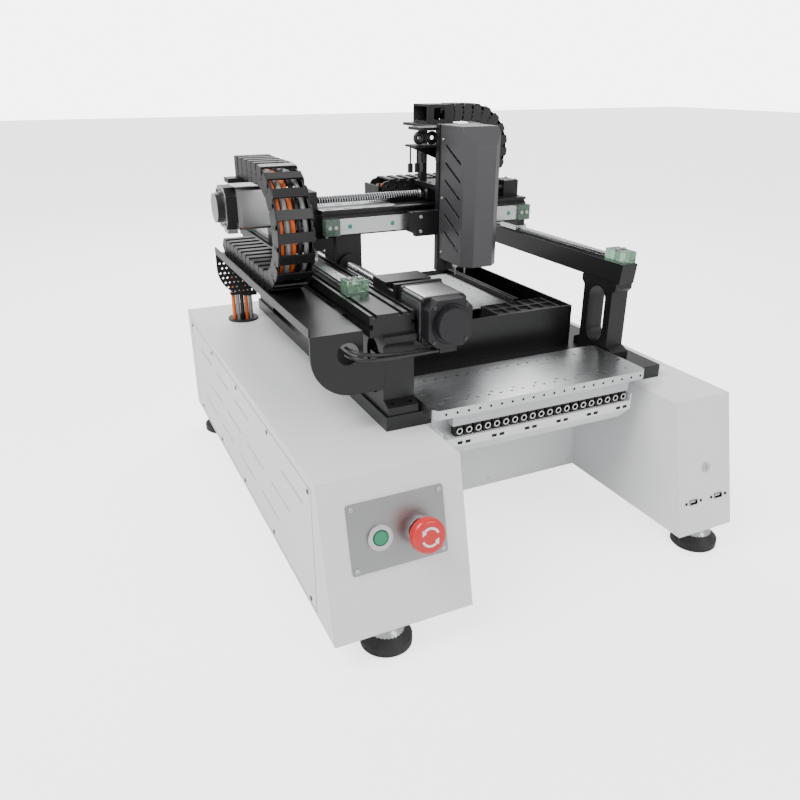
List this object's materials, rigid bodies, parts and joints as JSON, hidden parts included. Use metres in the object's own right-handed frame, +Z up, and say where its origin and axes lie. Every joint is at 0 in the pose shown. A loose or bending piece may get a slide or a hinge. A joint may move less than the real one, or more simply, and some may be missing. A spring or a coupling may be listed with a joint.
{
  "type": "desktop pick and place machine",
  "caption": "Benchtop machine that picks small electronic parts with a gantry-borne nozzle head and sets them on a circuit board, with screw-driven axes and drag chains.",
  "frame": {"origin": "centre of the bounding box's footprint, on the floor under the feet", "axes": "+X to the right seen from the feeder side, +Y from the feeder plate to the back, +Z up"},
  "size_m": [0.58, 0.742, 0.563],
  "materials": {
    "white_paint": "smooth semi-gloss white powder coat",
    "black_anodised": "satin black anodised aluminium",
    "head_grey": "satin dark grey paint",
    "plate_alu": "brushed aluminium",
    "rail_steel": "ground steel",
    "screw_steel": "polished screw steel",
    "motor_black": "satin black motor housing",
    "motor_silver": "satin silver motor case",
    "black_plastic": "matte black plastic",
    "chain_plastic": "satin black chain plastic",
    "clear_green": "clear green urethane",
    "foot_rubber": "black rubber",
    "zinc_steel": "zinc plated steel",
    "button_green": "green button plastic",
    "estop_red": "red button plastic",
    "cable_orange": "orange and grey cable jackets",
    "hose_black": "black hose",
    "light_grey": "light grey paint",
    "board_green": "green circuit board",
    "psu_metal": "pressed aluminium case",
    "brass_gear": "brass"
  },
  "bodies": {
    "root": {"left_housing": "white_paint", "right_housing": "white_paint", "side_panels": "white_paint", "inner_panels": "white_paint", "housing_screws": "zinc_steel", "levelling_feet": "foot_rubber", "foot_studs": "zinc_steel", "control_plate": "plate_alu", "button_collars": "motor_silver", "lock_body": "screw_steel", "usb_sockets": "black_plastic", "cable_grommet": "foot_rubber", "power_inlet": "black_plastic", "power_supply": "psu_metal", "control_board": "board_green", "vacuum_pump": "motor_black", "base_plate": "black_anodised", "feeder_plate": "plate_alu", "connector_strip": "light_grey", "feeder_connectors": "black_plastic", "feeder_channel": "white_paint", "beam_pillars": "black_anodised", "y_beams": "black_anodised", "y_rails": "rail_steel", "y_bumpers": "clear_green", "y_screw_mounts": "black_anodised", "y_motor": "motor_black", "cable_tray": "black_anodised", "cable_loom": "cable_orange", "y_drag_chain": "chain_plastic", "work_box": "black_anodised", "board_plate": "plate_alu", "ic_tray": "black_plastic"},
    "start_button": {"start_button": "button_green"},
    "estop_stem": {"estop_stem": "black_plastic"},
    "estop_head": {"estop_head": "estop_red"},
    "lock_core": {"lock_core": "screw_steel"},
    "clamp_rail": {"clamp_rail": "black_anodised"},
    "y_screw": {"y_screw": "screw_steel"},
    "x_screw": {"x_screw": "screw_steel"},
    "gantry": {"x_beam": "black_anodised", "gantry_saddles": "black_anodised", "y_carriages": "rail_steel", "x_rail": "rail_steel", "x_bumpers": "clear_green", "x_motor": "motor_silver", "x_screw_mounts": "black_anodised", "x_chain_tray": "black_anodised", "x_drag_chain": "chain_plastic"},
    "head": {"head_plate": "black_anodised", "head_cover": "head_grey", "chain_arm": "black_anodised", "z_motor": "motor_black", "board_camera": "black_plastic", "head_hoses": "hose_black"},
    "z_pinion": {"z_pinion": "brass_gear"},
    "nozzle_left": {"nozzle_left_slide": "motor_silver"},
    "nozzle_right": {"nozzle_right_slide": "motor_silver"},
    "nozzle_left_tip": {"nozzle_left_spindle": "zinc_steel"},
    "nozzle_right_tip": {"nozzle_right_spindle": "zinc_steel"}
  },
  "joints": [
    {"name": "gantry_y", "type": "slide", "parent": "root", "child": "gantry", "axis": [0, 1, 0], "range_m": [-0.16, 0.185], "deforming": ["y_drag_chain"]},
    {"name": "y_screw_spin", "type": "hinge", "parent": "root", "child": "y_screw", "pos_m": [-0.095, -0.02102, 0.344], "axis": [0, 1, 0], "range_deg": [-5765, 6665]},
    {"name": "carriage_x", "type": "slide", "parent": "gantry", "child": "head", "axis": [1, 0, 0], "range_m": [-0.094, 0.052], "deforming": ["x_drag_chain"]},
    {"name": "x_screw_spin", "type": "hinge", "parent": "gantry", "child": "x_screw", "pos_m": [0, 0.10198, 0.4345], "axis": [1, 0, 0], "range_deg": [-3390, 1875]},
    {"name": "nozzle_left_z", "type": "slide", "parent": "head", "child": "nozzle_left", "axis": [0, 0, 1], "range_m": [-0.029, 0.029]},
    {"name": "nozzle_right_z", "type": "slide", "parent": "head", "child": "nozzle_right", "axis": [0, 0, 1], "range_m": [-0.029, 0.029]},
    {"name": "z_pinion_spin", "type": "hinge", "parent": "head", "child": "z_pinion", "pos_m": [0.061, 0.01698, 0.4705], "axis": [0, 1, 0], "range_deg": [-335, 335]},
    {"name": "nozzle_left_turn", "type": "hinge", "parent": "nozzle_left", "child": "nozzle_left_tip", "pos_m": [0.05275, 0.00748, 0.372], "axis": [0, 0, 1], "continuous": true},
    {"name": "nozzle_right_turn", "type": "hinge", "parent": "nozzle_right", "child": "nozzle_right_tip", "pos_m": [0.06925, 0.00748, 0.372], "axis": [0, 0, 1], "continuous": true},
    {"name": "start_press", "type": "slide", "parent": "root", "child": "start_button", "axis": [0, 0.9733, -0.2296], "range_m": [0, 0.003], "stiffness_N_per_m": 400},
    {"name": "estop_press", "type": "slide", "parent": "root", "child": "estop_stem", "axis": [0, 0.9733, -0.2296], "range_m": [0, 0.005], "stiffness_N_per_m": 900},
    {"name": "estop_twist", "type": "hinge", "parent": "estop_stem", "child": "estop_head", "pos_m": [-0.178, -0.3382, 0.14516], "axis": [0, -0.9733, 0.2296], "range_deg": [-45, 0], "stiffness_Nm_per_rad": 0.05},
    {"name": "lock_turn", "type": "hinge", "parent": "root", "child": "lock_core", "pos_m": [0.245, -0.34273, 0.126], "axis": [0, -0.9733, 0.2296], "range_deg": [-90, 0]},
    {"name": "clamp_slide", "type": "slide", "parent": "root", "child": "clamp_rail", "axis": [1, 0, 0], "range_m": [-0.124, 0.007]}
  ],
  "couplings": [
    {"joint": "y_screw_spin", "follows": "gantry_y", "rad_per_m": 628.32},
    {"joint": "x_screw_spin", "follows": "carriage_x", "rad_per_m": 628.32},
    {"joint": "nozzle_right_z", "follows": "nozzle_left_z", "ratio": -1},
    {"joint": "z_pinion_spin", "follows": "nozzle_left_z", "rad_per_m": 200}
  ]
}
